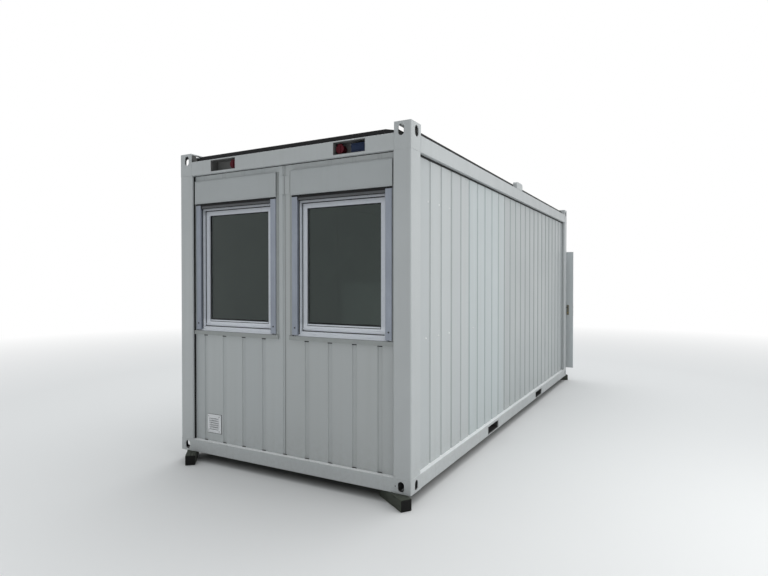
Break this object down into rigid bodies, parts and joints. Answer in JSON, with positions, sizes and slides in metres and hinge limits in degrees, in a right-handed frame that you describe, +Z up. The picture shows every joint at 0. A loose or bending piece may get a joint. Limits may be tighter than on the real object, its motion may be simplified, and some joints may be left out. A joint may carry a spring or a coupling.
{
  "type": "portable site cabin",
  "caption": "Steel framed site cabin with grooved wall panels, windows with roller shutters in one end and a hinged door in the other, standing on timbers.",
  "frame": {"origin": "on the ground under the middle of the cabin's footprint", "axes": "+X to the right seen from the window end, +Y from the window end to the door end, +Z up"},
  "size_m": [2.5652, 6.3626, 2.89],
  "materials": {
    "timber": "matt",
    "frame_paint": "satin",
    "galvanised": "dull",
    "floor_vinyl": "matt",
    "panel_paint": "gloss",
    "ceiling_white": "satin",
    "roof_steel": "satin",
    "black_seal": "matt",
    "white_plastic": "satin",
    "window_glass": "gloss",
    "trim_grey": "satin",
    "shutter_paint": "satin",
    "guide_aluminium": "satin",
    "grille_plastic": "matt",
    "recess_grey": "matt",
    "inlet_red": "satin",
    "outlet_blue": "satin",
    "door_frame_paint": "satin",
    "hinge_steel": "dull",
    "door_paint": "satin",
    "handle_black": "satin",
    "lock_brass": "satin"
  },
  "bodies": {
    "cabin": {"support_timbers": "timber", "bottom_blocks_front": "frame_paint", "bottom_blocks_back": "frame_paint", "top_blocks_front": "frame_paint", "top_blocks_back": "frame_paint", "corner_posts": "frame_paint", "bottom_rail_right": "frame_paint", "bottom_rail_left": "frame_paint", "bottom_rails_ends": "frame_paint", "top_rails_sides": "frame_paint", "top_rail_front": "frame_paint", "top_rail_back": "frame_paint", "fork_pockets": "frame_paint", "floor_joists": "galvanised", "underfloor_sheets": "galvanised", "floor_board": "floor_vinyl", "right_wall_panels": "panel_paint", "left_wall_panels": "panel_paint", "front_wall_left": "panel_paint", "front_wall_right": "panel_paint", "back_wall_left": "panel_paint", "back_wall_right": "panel_paint", "back_wall_over_door": "panel_paint", "ceiling_panel": "ceiling_white", "roof_beams": "galvanised", "roof_sheet": "roof_steel", "roof_edge_seals": "black_seal", "lifting_lugs": "frame_paint", "window_frames": "white_plastic", "window_sashes": "white_plastic", "window_panes": "window_glass", "window_handles": "white_plastic", "window_trims": "trim_grey", "shutter_boxes": "shutter_paint", "shutter_guides": "guide_aluminium", "shutter_end_bars": "guide_aluminium", "joint_cover": "panel_paint", "vent_grille": "grille_plastic", "power_recesses": "recess_grey", "power_inlets": "inlet_red", "power_outlet": "outlet_blue", "door_frame": "door_frame_paint", "frame_hinges": "hinge_steel"},
    "door": {"door_leaf": "door_paint", "leaf_hinges": "hinge_steel", "lock_plates": "handle_black", "door_levers": "handle_black", "lock_cylinders": "lock_brass"}
  },
  "joints": [
    {"name": "door_hinge", "type": "hinge", "parent": "cabin", "child": "door", "pos_m": [0.44, 3.032, 0], "axis": [0, 0, 1], "range_deg": [0, 176.5]}
  ]
}
